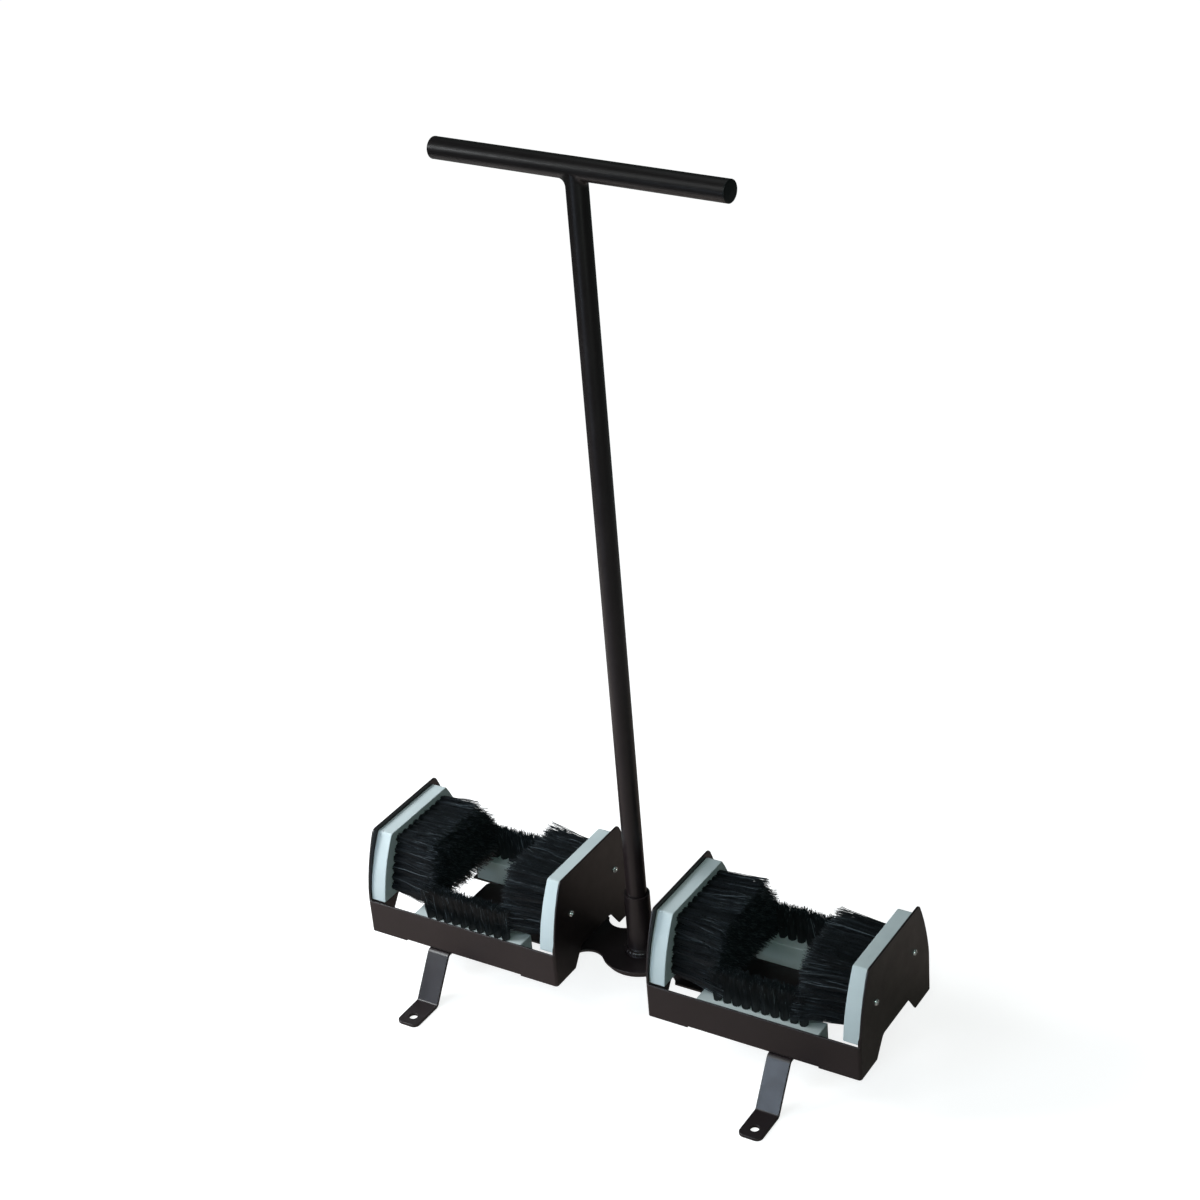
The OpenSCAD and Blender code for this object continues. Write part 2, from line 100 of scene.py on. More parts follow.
# A bristle's root is sunk in its block. Away from its tuft's middle it leans and curls outwards,
# and bristles differ in both, along the two axes across them. A tuft's outliers stand this many of
# its radii out, and a few side bristles stray this many times as far
ROOT_SUNK = 1.0
SIDE_OUTLIERS, BOTTOM_OUTLIERS = 1.22, 1.0
SPLAY = 0.014
BOTTOM_SPLAY_X = 0.006
SIDE_WAY_SPREAD = (0.022, 0.019)
SIDE_CURL = 0.2
SIDE_CURL_SPREAD = (1.4, 1.3)
BOTTOM_LEAN_SPREAD = (0.014, 0.02)
BOTTOM_WAY_SPREAD = (0.016, 0.024)
BOTTOM_CURL = 0.3
BOTTOM_CURL_SPREAD = (1.0, 1.3)
STRAY_SHARE = 0.008
STRAY_TIMES = 5.0

# Seeds of the random draws
BRISTLE_SEED = 41
BEAD_SEED = 7
SCREW_SEED = 3

# Sizes of the steel's edges and folds, of the handle and of the welds, in millimetres and degrees,
# and the shares and counts that shape the welds
EDGE_R = 0.6
FOLD_R = 4.0
FLANGE_PAST = 6.0
FLANGE_INWARDS = 3.0
TUBE_R = 12.7
BORE_R = 10.7
BAR_Z = 1087.3
BAR_TURN = -5.7
CROTCH_WELD = 9.0
CROTCH_STEPS = 14
CROTCH_TALLER = 1.3
CROTCH_LEFT_WIDER = 0.26
CROTCH_SUNK = 0.15
CROTCH_BACK = 0.6
BEAD_RISE = 5.0
BEAD_R = 18.6
BEAD_THICK = 2.9
BEAD_RIPPLES = 26
BEAD_THINNEST = 0.9
BEAD_WAVE = 0.14

# Sizes of a screw, in millimetres
HEAD_R = 4.2
HEAD_H = 2.6
HEAD_ROUND = 2.3
RECESS = (4.2, 1.1, 3.0)
SHANK_R = 2.25
SHANK_L = 18.0
TIP_L = 3.0

# The floor: its grey for the light it throws back, its shade in reflections near the object and far
# from it, and for the camera its paper and the glow that whitens it, from near to far, in metres
FLOOR_GREY = (0.16, 0.16, 0.155)
FLOOR_IN_GLOSS = (0.48, 0.38, 0.34)
FAR_IN_GLOSS = (0.92, 0.86, 0.86)
PAPER_GREY = (0.5, 0.5, 0.5)
GLOW_NEAR = 0.82
GLOW_FAR = 1.0
GLOW_START = 0.45
GLOW_END = 1.5
FLOOR_SIZE = 14
FLOOR_DROP = 0.0002

# The light of the room, and the lamps: name, place, aim, sides, power, colour, angle of the beam
ROOM_COLOUR = (0.74, 1.0, 0.94)
ROOM_STRENGTH = 0.055
LAMPS = (
    ("key", (-0.58, -1.70, 0.72), (0, 0, 0.12), (0.6, 0.6), 1.7, (0.66, 0.81, 1.0), 70),
    ("left", (-1.45, -0.72, 1.22), (-0.45, 0, 0.12), (0.8, 0.8), 6.8, (0.94, 0.98, 1.0), 70),
    ("high", (-0.5, -1.4, 1.55), (0, 0, 0.12), (1.3, 1.3), 1.9, (0.97, 1.0, 1.0), 70),
    ("front", (1.0, -1.7, 1.55), (0, 0, 0.3), (0.3, 0.3), 1.2, (0.74, 1.0, 0.92), 70),
    ("top", (-0.1, 0.3, 2.9), (0, 0, 0.2), (2.0, 2.0), 4.5, (0.93, 1.0, 1.0), 180),
    ("right", (1.5, -1.2, 0.7), (0, 0, 0.12), (0.2, 0.2), 0.8, (0.9, 1.0, 0.96), 180),
)


# Camera

def make_camera():
    cam = bpy.data.objects.new("camera", bpy.data.cameras.new("camera"))
    bpy.context.scene.collection.objects.link(cam)
    cam.location = (1.30592, -2.0017, 1.80973)
    cam.rotation_euler = [math.radians(a) for a in (62.5238, 4.4248, 31.1632)]
    cam.data.sensor_width = 36
    cam.data.lens = 69.5625
    cam.data.shift_x = 0.0002
    cam.data.shift_y = 0.0004
    cam.data.clip_end = 50
    bpy.context.scene.camera = cam


# Mesh helpers

def clear_selection():
    if bpy.context.mode != "OBJECT":
        bpy.ops.object.mode_set(mode="OBJECT")
    bpy.ops.object.select_all(action="DESELECT")


def activate(obj):
    clear_selection()
    obj.select_set(True)
    bpy.context.view_layer.objects.active = obj


def apply_modifier(obj, kind, **settings):
    activate(obj)
    modifier = obj.modifiers.new(kind.lower(), kind)
    for key, value in settings.items():
        setattr(modifier, key, value)
    bpy.ops.object.modifier_apply(modifier=modifier.name)


def settle(obj):
    """Puts the object's place into its mesh."""
    activate(obj)
    bpy.ops.object.transform_apply(location=True, rotation=True, scale=True)


def smooth(obj, degrees=35):
    activate(obj)
    bpy.ops.object.shade_smooth_by_angle(angle=math.radians(degrees))


def pick_faces(obj, test):
    """Selects the faces for which test(middle, normal) holds, in edit mode."""
    mesh = obj.data
    bpy.ops.object.mode_set(mode="OBJECT")
    for v in mesh.vertices:
        v.select = False
    for e in mesh.edges:
        e.select = False
    for p in mesh.polygons:
        p.select = bool(test(p.center, p.normal))
    bpy.ops.object.mode_set(mode="EDIT")
    bpy.ops.mesh.select_mode(type="FACE")


def merged_copy(node, name):
    """A welded copy of a CAD node's mesh, with flat faces made whole."""
    source = nodes[node]
    obj = bpy.data.objects.new(name, source.data.copy())
    bpy.context.scene.collection.objects.link(obj)
    activate(obj)
    bpy.ops.object.mode_set(mode="EDIT")
    bpy.ops.mesh.select_all(action="SELECT")
    bpy.ops.mesh.remove_doubles(threshold=SAME_POINT)
    bpy.ops.mesh.dissolve_limited(angle_limit=math.radians(SAME_FACE))
    bpy.ops.object.mode_set(mode="OBJECT")
    obj.data.materials.clear()
    return obj


def soften(obj, width, skip=None):
    """Rounds the sharp edges of a piece, but none for which skip(end, end) holds."""
    shape = bmesh.new()
    shape.from_mesh(obj.data)
    weight = shape.edges.layers.float.new("bevel_weight_edge")
    for edge in shape.edges:
        sharp = len(edge.link_faces) == 2 and edge.calc_face_angle() > math.radians(30)
        kept = skip is not None and skip(edge.verts[0].co, edge.verts[1].co)
        edge[weight] = 1.0 if sharp and not kept else 0.0
    shape.to_mesh(obj.data)
    shape.free()
    apply_modifier(obj, "BEVEL", width=width, segments=3, limit_method="WEIGHT",
                   use_clamp_overlap=False, miter_outer="MITER_ARC")
    smooth(obj, 50)
    apply_modifier(obj, "WEIGHTED_NORMAL", keep_sharp=True)


def finish_piece(obj, body, slot, material, *replaced):
    obj.data.materials.clear()
    obj.data.materials.append(material)
    if replaced:
        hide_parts(*replaced)
    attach(obj, body)
    return obj


# Materials

class Shader:
    """A small builder of node materials on Object coordinates."""

    def __init__(self, name):
        self.material = bpy.data.materials.new(name)
        self.material.use_nodes = True
        self.tree = self.material.node_tree
        self.bsdf = self.tree.nodes["Principled BSDF"]
        self.place = self.tree.nodes.new("ShaderNodeTexCoord").outputs["Object"]

    def set(self, **values):
        for key, value in values.items():
            self.bsdf.inputs[key.replace("_", " ")].default_value = value

    def noise(self, scale, detail=3.0, rough=0.55, stretch=None):
        node = self.tree.nodes.new("ShaderNodeTexNoise")
        node.inputs["Scale"].default_value = scale
        node.inputs["Detail"].default_value = detail
        node.inputs["Roughness"].default_value = rough
        if stretch:
            mapping = self.tree.nodes.new("ShaderNodeMapping")
            mapping.inputs["Scale"].default_value = stretch
            self.tree.links.new(self.place, mapping.inputs["Vector"])
            self.tree.links.new(mapping.outputs["Vector"], node.inputs["Vector"])
        else:
            self.tree.links.new(self.place, node.inputs["Vector"])
        return node.outputs["Fac"]

    def attribute(self, name):
        node = self.tree.nodes.new("ShaderNodeAttribute")
        node.attribute_name = name
        return node.outputs["Fac"]

    def ramp(self, fac, *stops):
        node = self.tree.nodes.new("ShaderNodeValToRGB")
        ramp = node.color_ramp
        while len(ramp.elements) < len(stops):
            ramp.elements.new(0.5)
        for element, (at, colour) in zip(ramp.elements, stops):
            element.position = at
            element.color = (*colour, 1)
        self.tree.links.new(fac, node.inputs["Fac"])
        return node.outputs["Color"]

    def spread(self, fac, low, high, start=0.0, end=1.0):
        node = self.tree.nodes.new("ShaderNodeMapRange")
        node.inputs["From Min"].default_value = start
        node.inputs["From Max"].default_value = end
        node.inputs["To Min"].default_value = low
        node.inputs["To Max"].default_value = high
        self.tree.links.new(fac, node.inputs["Value"])
        return node.outputs["Result"]

    def mix(self, fac, a, b):
        node = self.tree.nodes.new("ShaderNodeMix")
        node.data_type = "RGBA"
        self.tree.links.new(fac, node.inputs["Factor"])
        for socket, value in ((node.inputs["A"], a), (node.inputs["B"], b)):
            if isinstance(value, tuple):
                socket.default_value = (*value, 1)
            else:
                self.tree.links.new(value, socket)
        return node.outputs["Result"]

    def colour(self, output):
        self.tree.links.new(output, self.bsdf.inputs["Base Color"])

    def roughness(self, output):
        self.tree.links.new(output, self.bsdf.inputs["Roughness"])

    def bump(self, *layers):
        """Each layer is (height output, strength, distance)."""
        normal = None
        for height, strength, distance in layers:
            node = self.tree.nodes.new("ShaderNodeBump")
            node.inputs["Strength"].default_value = strength
            node.inputs["Distance"].default_value = distance
            self.tree.links.new(height, node.inputs["Height"])
            if normal:
                self.tree.links.new(normal, node.inputs["Normal"])
            normal = node.outputs["Normal"]
        self.tree.links.new(normal, self.bsdf.inputs["Normal"])


def powder_coat():
    s = Shader("black_powder_coat")
    s.set(Specular_IOR_Level=0.5)
    drift = s.spread(s.noise(9, 4), 0, 1, 0.35, 0.65)
    s.colour(s.mix(drift, (0.0115, 0.0075, 0.0082), (0.0165, 0.0110, 0.0118)))
    s.roughness(s.spread(s.noise(45, 5, 0.65), 0.31, 0.40, 0.3, 0.7))
    s.bump((s.noise(620, 2, 0.6), 0.10, 0.0004), (s.noise(160, 2), 0.05, 0.0008))
    return s.material


def brush_plastic():
    s = Shader("pale_brush_block")
    s.set(Specular_IOR_Level=0.42)
    cloud = s.spread(s.noise(22, 5, 0.6), 0, 1, 0.3, 0.7)
    base = s.mix(cloud, (0.49, 0.552, 0.565), (0.55, 0.61, 0.62))
    scuffs = s.spread(s.noise(150, 6, 0.7, (1, 0.25, 1)), 0, 0.35, 0.6, 0.75)
    s.colour(s.mix(scuffs, base, (0.34, 0.42, 0.42)))
    s.roughness(s.spread(s.noise(60, 4), 0.42, 0.6, 0.3, 0.7))
    s.bump((s.noise(420, 3), 0.1, 0.0005), (s.noise(35, 3), 0.12, 0.0015))
    return s.material


def bristle_black():
    s = Shader("black_bristle")
    s.set(Specular_IOR_Level=0.45, Roughness=0.42)
    # The pale stops of the ramp carry the painted light of the tips and the painted glints
    s.colour(s.ramp(s.attribute("tone"),
                    (0.0, (0.004, 0.005, 0.006)), (0.6, (0.013, 0.016, 0.019)),
                    (0.9, (0.045, 0.056, 0.064)), (1.0, (0.120, 0.140, 0.155))))
    return s.material


def zinc():
    s = Shader("zinc_plate")
    s.set(Metallic=0.8)
    grain = s.spread(s.noise(700, 4), 0, 1, 0.35, 0.65)
    s.colour(s.mix(grain, (0.80, 0.83, 0.84), (0.93, 0.94, 0.94)))
    s.roughness(s.spread(s.noise(500, 4), 0.20, 0.30, 0.3, 0.7))
    s.bump((s.noise(900, 2), 0.08, 0.0003))
    return s.material


def plug_plastic():
    s = Shader("black_plug")
    s.set(Specular_IOR_Level=0.5)
    s.colour(s.mix(s.noise(60, 4), (0.006, 0.006, 0.007), (0.014, 0.014, 0.015)))
    s.roughness(s.spread(s.noise(120, 4), 0.30, 0.40, 0.3, 0.7))
    s.bump((s.noise(500, 2), 0.02, 0.0004))
    return s.material


def floor_paint():
    """White paper to the camera, with its shadows, and a plain grey floor to all other rays."""
    s = Shader("floor_white")
    s.set(Roughness=0.9, Specular_IOR_Level=0.0)
    path = s.tree.nodes.new("ShaderNodeLightPath")
    away = s.tree.nodes.new("ShaderNodeVectorMath")
    away.operation = "LENGTH"
    s.tree.links.new(s.place, away.inputs[0])
    far = s.spread(away.outputs["Value"], 0, 1, GLOW_START, GLOW_END)
    shade = s.mix(far, FLOOR_IN_GLOSS, FAR_IN_GLOSS)
    s.colour(s.mix(path.outputs["Is Glossy Ray"], FLOOR_GREY, shade))
    paper = s.tree.nodes.new("ShaderNodeBsdfDiffuse")
    paper.inputs["Color"].default_value = (*PAPER_GREY, 1)
    glow = s.tree.nodes.new("ShaderNodeEmission")
    both = s.tree.nodes.new("ShaderNodeAddShader")
    choice = s.tree.nodes.new("ShaderNodeMixShader")
    link = s.tree.links.new
    strength = s.spread(away.outputs["Value"], GLOW_NEAR, GLOW_FAR, GLOW_START, GLOW_END)
    link(strength, glow.inputs["Strength"])
    link(paper.outputs["BSDF"], both.inputs[0])
    link(glow.outputs["Emission"], both.inputs[1])
    link(path.outputs["Is Camera Ray"], choice.inputs["Fac"])
    link(s.bsdf.outputs["BSDF"], choice.inputs[1])
    link(both.outputs["Shader"], choice.inputs[2])
    link(choice.outputs["Shader"], s.tree.nodes["Material Output"].inputs["Surface"])
    return s.material


# Bristles

# The form of a bristle: its segments, how far its waves turn in radians and how wide they are, in
# millimetres
RINGS = 3
WAVE_TURN = 7.5
CRIMP = 0.75

# Its tone, from 0 dark to 1 pale: how much paler the tip is painted, as painted light on the ends
# that stand out, how much a painted glint along a wave changes it, the tone of each kind of brush,
# and how far bristles differ, some of them painted bright all along as painted glints
TIP_PAINTED_LIGHT = 0.34
GLINT = 0.25
SIDE_TONE = 0.24
BOTTOM_TONE = 0.08
TONE_SPREAD = 0.2
PAINTED_GLINT_SHARE = 0.08
PAINTED_GLINT_TONE = 0.42

# Length as shares of the tuft's and radius in millimetres, from and to, and the same for the thick
# ones in a tuft's core, painted darkest as painted shade inside the tuft, which stand within this
# share of its radius
FIBRE_LENGTH = (0.94, 1.01)
FIBRE_R = (0.36, 0.5)
CORE_LENGTH = 0.84
CORE_R = (1.5, 2.0)
CORE_REACH = 0.5


def one_fibre():
    """Points and faces of a straight bristle along +Z, 1 long and 1 in radius, with a blunt tip."""
    clear_selection()
    bpy.ops.mesh.primitive_cylinder_add(
        vertices=3, radius=1, depth=1, end_fill_type="NGON", location=(0, 0, 0.5))
    fibre = bpy.context.object
    settle(fibre)
    bpy.ops.object.mode_set(mode="EDIT")
    for k in range(1, RINGS):
        bpy.ops.mesh.select_all(action="SELECT")
        bpy.ops.mesh.bisect(plane_co=(0, 0, k / RINGS), plane_no=(0, 0, 1))
    bpy.ops.object.mode_set(mode="OBJECT")
    points = np.array([v.co for v in fibre.data.vertices], float)
    root = [p for p in fibre.data.polygons if p.center.z < 0.01 and abs(p.normal.z) > 0.9]
    faces = [tuple(p.vertices) for p in fibre.data.polygons if p not in root]
    bpy.data.objects.remove(fibre)
    return points, faces


def grow(fibre, strands):
    """Bends copies of a fibre along strands and gives all points, faces and tones.

    A strand is (root, way, sideways, crimp, length, radius, tone). Way is its direction at first,
    sideways how far its tip has moved from a straight line, and crimp the size and direction of its
    waves. Tips are painted paler than roots, painted light on the ends that stand out, and painted
    glints change the tone a little along the waves.
    """
    points, faces = fibre
    all_points, all_faces, tones = [], [], []
    t = points[:, 2:3]
    thick = np.clip(1.08 - 0.45 * t ** 3, 0, 1)
    wave = np.sin(WAVE_TURN * t)
    for root, way, sideways, crimp, length, radius, tone in strands:
        way = way / np.linalg.norm(way)
        u = np.cross(way, (0.13, 0.31, 0.94))
        u /= np.linalg.norm(u)
        v = np.cross(way, u)
        line = root + way * length * t + sideways * t ** 2 + crimp * wave
        body = radius * thick * (points[:, :1] * u + points[:, 1:2] * v)
        start = len(all_points) * len(points)
        all_points.append(line + body)
        all_faces.extend(tuple(i + start for i in f) for f in faces)
        # Painted light: the tip is painted paler, and painted glints run along the waves
        tones.append(tone + TIP_PAINTED_LIGHT * t[:, 0] + GLINT * crimp[0] * wave[:, 0])
    return np.concatenate(all_points), all_faces, np.concatenate(tones)


def bristle_object(name, fibre, strands):
    points, faces, tones = grow(fibre, strands)
    mesh = bpy.data.meshes.new(name)
    mesh.from_pydata((points * MM).tolist(), [], faces)
    mesh.update()
    # The tone holds painted light: the paler tips and the painted glints
    tone = mesh.attributes.new("tone", "FLOAT", "POINT")
    tone.data.foreach_set("value", tones.astype(np.float32))
    obj = bpy.data.objects.new(name, mesh)
    bpy.context.scene.collection.objects.link(obj)
    smooth(obj, 60)
    return obj


def half_depths(block):
    """Heights and half depths of a side block's back edge, taken from its own points."""
    points = np.array([v.co for v in nodes[block].data.vertices]) / MM
    edge = points[points[:, 1] > points[:, 1].max() * 0.6]
    return edge[np.argsort(edge[:, 2])][:, [2, 1]].T


def side_tufts(block):
    """Places of the tufts on a side block, as (y, z, row) with row from 0 below to 1 at the top."""
    low, high = (c[2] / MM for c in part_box(block))
    low, high = low + TUFT_LOW_MARGIN, high - TUFT_TOP_MARGIN
    heights, halves = half_depths(block)
    rows = round((high - low) / ROW_PITCH)
    bare = REAR_BARE.get(block, 0.0)
    for r in range(rows + 1):
        z = low + r * (high - low) / rows
        reach = np.interp(z, heights, halves) - TUFT_SIDE_MARGIN
        n = round((2 * reach - bare) / TUFT_PITCH)
        for i in range(n + 1):
            yield (2 * reach - bare) * i / n - reach, z, r / rows


def tuft_place(core, tuft_r, outliers, draw):
    """Where a bristle stands from its tuft's middle. About one in three may be an outlier."""
    angle = draw.uniform(0, 2 * math.pi)
    share = CORE_REACH if core else draw.choice((1.0, 1.0, outliers))
    reach = tuft_r * share * math.sqrt(draw.random())
    return reach * math.cos(angle), reach * math.sin(angle)


def one_body(core, reach, tone, draw):
    """Crimp, length, radius and tone of a bristle, or of a thick one in a tuft's core in painted
    shade.
    """
    if core:
        # Core bristles are painted darkest all along: painted shade inside the tuft
        return np.zeros(3), reach * CORE_LENGTH, draw.uniform(*CORE_R), -TIP_PAINTED_LIGHT
    crimp = np.array([draw.gauss(0, CRIMP) for _ in range(3)])
    # A few bristles are painted bright all along, as painted glints
    tone += draw.gauss(0, TONE_SPREAD) + (PAINTED_GLINT_TONE if draw.random() < PAINTED_GLINT_SHARE else 0.0)
    return crimp, reach * draw.uniform(*FIBRE_LENGTH), draw.uniform(*FIBRE_R), tone


def side_brush(name, block, out, fibre, draw):
    """Bristles of the side block whose tray wall lies towards out (1 or -1) along X."""
    low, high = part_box(block)
    face = (low[0] if out > 0 else high[0]) / MM - out * ROOT_LAYER
    strands = []
    for y, z, row in side_tufts(block):
        hang = max(0.0, 1 - row / HANG_BELOW)
        lean = np.array((0, draw.gauss(0, SIDE_LEAN_SPREAD) + SIDE_FAN * y / FAN_HALF,
                         draw.gauss(0, SIDE_LEAN_SPREAD) + SIDE_FAN * (LEVEL_ROW - row)))
        sag = np.array((0, draw.gauss(0, SAG_SPREAD),
                        draw.gauss(-OWN_SAG - HANG_SAG * hang, SAG_SPREAD)))
        worn = TOP_WORN.get(block, 0.0) * max(0.0, WORN_PARTS * row - (WORN_PARTS - 1))
        reach = SIDE_BRISTLE_L * draw.uniform(*TUFT_LENGTH) + HANG_LONGER * hang - worn
        for k in range(SIDE_FIBRES):
            core = k < CORE_FIBRES
            dy, dz = tuft_place(core, TUFT_R, SIDE_OUTLIERS, draw)
            root = np.array((face + out * ROOT_SUNK, y + dy, z + dz))
            loose = STRAY_TIMES if draw.random() < STRAY_SHARE else 1.0
            way = np.array((-out, SPLAY * dy, SPLAY * dz)) + lean
            way = way + loose * np.array((0, *(draw.gauss(0, w) for w in SIDE_WAY_SPREAD)))
            curl_y = SIDE_CURL * dy + draw.gauss(0, SIDE_CURL_SPREAD[0])
            curl_z = SIDE_CURL * dz + draw.gauss(0, SIDE_CURL_SPREAD[1])
            sideways = sag + np.array((0, curl_y, curl_z))
            strands.append((root, way, sideways, *one_body(core, reach, SIDE_TONE, draw)))
    return bristle_object(name, fibre, strands)


def bottom_brush(name, block, shift, fibre, draw):
    """Bristles of a front or rear block, their row moved by shift towards the front."""
    low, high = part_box(block)
    middle_x, y = (low[0] + high[0]) / 2 / MM, (low[1] + high[1]) / 2 / MM - shift
    top = high[2] / MM + ROOT_LAYER
    strands = []
    for i in range(BOTTOM_TUFTS):
        x = middle_x + (i - (BOTTOM_TUFTS - 1) / 2) * BOTTOM_PITCH
        lean = np.array((*(draw.gauss(0, w) for w in BOTTOM_LEAN_SPREAD), 0))
        for k in range(BOTTOM_FIBRES):
            core = k < CORE_FIBRES
            dx, dy = tuft_place(core, BOTTOM_TUFT_R, BOTTOM_OUTLIERS, draw)
            root = np.array((x + dx, y + dy, top - ROOT_SUNK))
            way = np.array((BOTTOM_SPLAY_X * dx, SPLAY * dy, 1.0)) + lean
            way = way + np.array((*(draw.gauss(0, w) for w in BOTTOM_WAY_SPREAD), 0))
            curl_x = BOTTOM_CURL * dx + draw.gauss(0, BOTTOM_CURL_SPREAD[0])
            curl_y = BOTTOM_CURL * dy + draw.gauss(0, BOTTOM_CURL_SPREAD[1])
            sideways = np.array((curl_x, curl_y, 0))
            body = one_body(core, BOTTOM_BRISTLE_L, BOTTOM_TONE, draw)
            strands.append((root, way, sideways, *body))
    return bristle_object(name, fibre, strands)


# Brush blocks

def full_block(node, name, axis, direction):
    """A block with the layer of it that the bristles are rooted in, and rounded edges."""
    obj = merged_copy(node, name)
    low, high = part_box(node)
    face = high[axis] if direction > 0 else low[axis]
    pick_faces(obj, lambda c, n: n[axis] * direction > 0.99
               and abs(c[axis] - face) < SAME_PLANE)
    shift = [0.0, 0.0, 0.0]
    shift[axis] = direction * ROOT_LAYER * MM
    bpy.ops.transform.translate(value=shift)
    bpy.ops.object.mode_set(mode="OBJECT")
    soften(obj, BLOCK_EDGE_R * MM)
    return obj


def make_brushes():
    fibre = one_fibre()
    block_finish = brush_plastic()
    hair = bristle_black()
    draw = random.Random(BRISTLE_SEED)
    for name, side in (("left", -1), ("right", 1)):
        for place, out in (("outer", side), ("inner", -side), ("front", 0), ("rear", 0)):
            node = f"{name}_{place}_block"
            brush_name = f"{name}_{place}_brush"
            if out:
                brush = side_brush(f"{brush_name}_hair", node, out, fibre, draw)
                block = full_block(node, brush_name, 0, -out)
            else:
                shift = ROW_SHIFT[name] if place == "front" else 0.0
                brush = bottom_brush(f"{brush_name}_hair", node, shift, fibre, draw)
                block = full_block(node, brush_name, 2, 1)
            finish_piece(block, "stand", "brush_block", block_finish, node)
            finish_piece(brush, "stand", "bristle", hair, f"{name}_{place}_bristles")


# Steel

def ring_mesh(name, around, across, place):
    """A closed ring with its points at place(turn, part), turn going round it and part across it.

    Both go from 0 to 1.
    """
    clear_selection()
    bpy.ops.mesh.primitive_torus_add(major_segments=around, minor_segments=across)
    ring = bpy.context.object
    ring.name = name
    for i, v in enumerate(ring.data.vertices):
        v.co = place((i // across + 0.5) / around, (i % across) / across)
    activate(ring)
    bpy.ops.object.mode_set(mode="EDIT")
    bpy.ops.mesh.select_all(action="SELECT")
    bpy.ops.mesh.normals_make_consistent(inside=False)
    bpy.ops.object.mode_set(mode="OBJECT")
    smooth(ring, 60)
    return ring


def crotch_weld():
    """The weld that fills the corner between post and bar, running out at the front and back.

    It is wider on the bar's left side, and taller than wide.
    """
    turned = Matrix.Rotation(math.radians(BAR_TURN), 3, "Z")

    def place(turn, part):
        angle = 2 * math.pi * turn
        c, y = math.cos(angle), TUBE_R * math.sin(angle)
        way = 1 if c > 0 else -1
        corner = TUBE_R * abs(c)
        width = CROTCH_WELD * (1 - CROTCH_LEFT_WIDER * c) * abs(c) ** 0.7
        k = part * CROTCH_STEPS
        if k > CROTCH_STEPS - 1.5:
            out, down = -CROTCH_BACK * abs(c), CROTCH_BACK * abs(c)
        else:
            t = k / (CROTCH_STEPS - 2)
            out = width * t ** 2 - CROTCH_SUNK
            down = -CROTCH_TALLER * width * (1 - t) ** 2 + CROTCH_SUNK
        point = turned @ Vector((way * (corner + out), y, down - corner))
        return point * MM + Vector((0, 0, BAR_Z * MM))

    return ring_mesh("handle_weld", 96, CROTCH_STEPS, place)


def post_tube():
    """The post as a plain tube up into the bar, for the weld under the bar is a piece by itself."""
    low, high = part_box("handle_post")
    place = (0, 0, (low[2] + high[2]) / 2)
    tubes = []
    for radius, extra in ((TUBE_R, 0.0), (BORE_R, 2.0)):
        clear_selection()
        bpy.ops.mesh.primitive_cylinder_add(
            vertices=96, radius=radius * MM, depth=high[2] - low[2] + extra * MM, location=place)
        tubes.append(bpy.context.object)
        settle(tubes[-1])
    post, bore = tubes
    apply_modifier(post, "BOOLEAN", operation="DIFFERENCE", object=bore, solver="EXACT")
    bpy.data.objects.remove(bore)
    post.name = "handle_tube"
    smooth(post, 40)
    return post


def socket_bead():
    """A hand-laid weld bead round the socket's foot, in overlapping ripples."""
    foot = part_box("post_socket")[0][2] / MM
    draw = random.Random(BEAD_SEED)
    lumps = [draw.uniform(0.85, 1.15) for _ in range(BEAD_RIPPLES)]

    def place(turn, part):
        angle, slope = 2 * math.pi * turn, 2 * math.pi * part
        step = turn * BEAD_RIPPLES
        a, b = lumps[int(step) % BEAD_RIPPLES], lumps[int(step + 1) % BEAD_RIPPLES]
        ripple = BEAD_THINNEST + BEAD_WAVE * abs(math.sin(math.pi * step))
        swell = BEAD_THICK * (a + (b - a) * (step % 1)) * ripple
        r = BEAD_R + swell * math.cos(slope)
        height = foot + BEAD_RISE + swell * math.sin(slope)
        return Vector((r * math.cos(angle), r * math.sin(angle), height)) * MM

    return ring_mesh("socket_weld", BEAD_RIPPLES * 6, 12, place)


def one_screw():
    """A pan head screw with a cross recess along +Z, its head's underside at the origin."""
    clear_selection()
    bpy.ops.mesh.primitive_cylinder_add(
        vertices=32, radius=HEAD_R * MM, depth=HEAD_H * MM, location=(0, 0, HEAD_H * MM / 2))
    head = bpy.context.object
    settle(head)
    pick_faces(head, lambda c, n: n[2] > 0.9)
    bpy.ops.mesh.bevel(offset=HEAD_ROUND * MM, segments=7, affect="EDGES")
    bpy.ops.object.mode_set(mode="OBJECT")
    for turn in (0, 90):
        bpy.ops.mesh.primitive_cube_add(
            size=1, location=(0, 0, HEAD_H * MM), rotation=(0, 0, math.radians(turn)),
            scale=[side * MM for side in RECESS])
        cutter = bpy.context.object
        settle(cutter)
        apply_modifier(head, "BOOLEAN", operation="DIFFERENCE", object=cutter, solver="EXACT")
        bpy.data.objects.remove(cutter)
    bpy.ops.mesh.primitive_cone_add(
        vertices=16, radius1=SHANK_R * 0.2 * MM, radius2=SHANK_R * MM, depth=TIP_L * MM,
        location=(0, 0, (TIP_L / 2 - SHANK_L) * MM))
    tip = bpy.context.object
    bpy.ops.mesh.primitive_cylinder_add(
        vertices=16, radius=SHANK_R * MM, depth=(SHANK_L - TIP_L) * MM,
        location=(0, 0, (TIP_L - SHANK_L) / 2 * MM))
    head.select_set(True)
    tip.select_set(True)
    bpy.context.view_layer.objects.active = head
    bpy.ops.object.join()
    settle(head)
    smooth(head, 35)
    return head


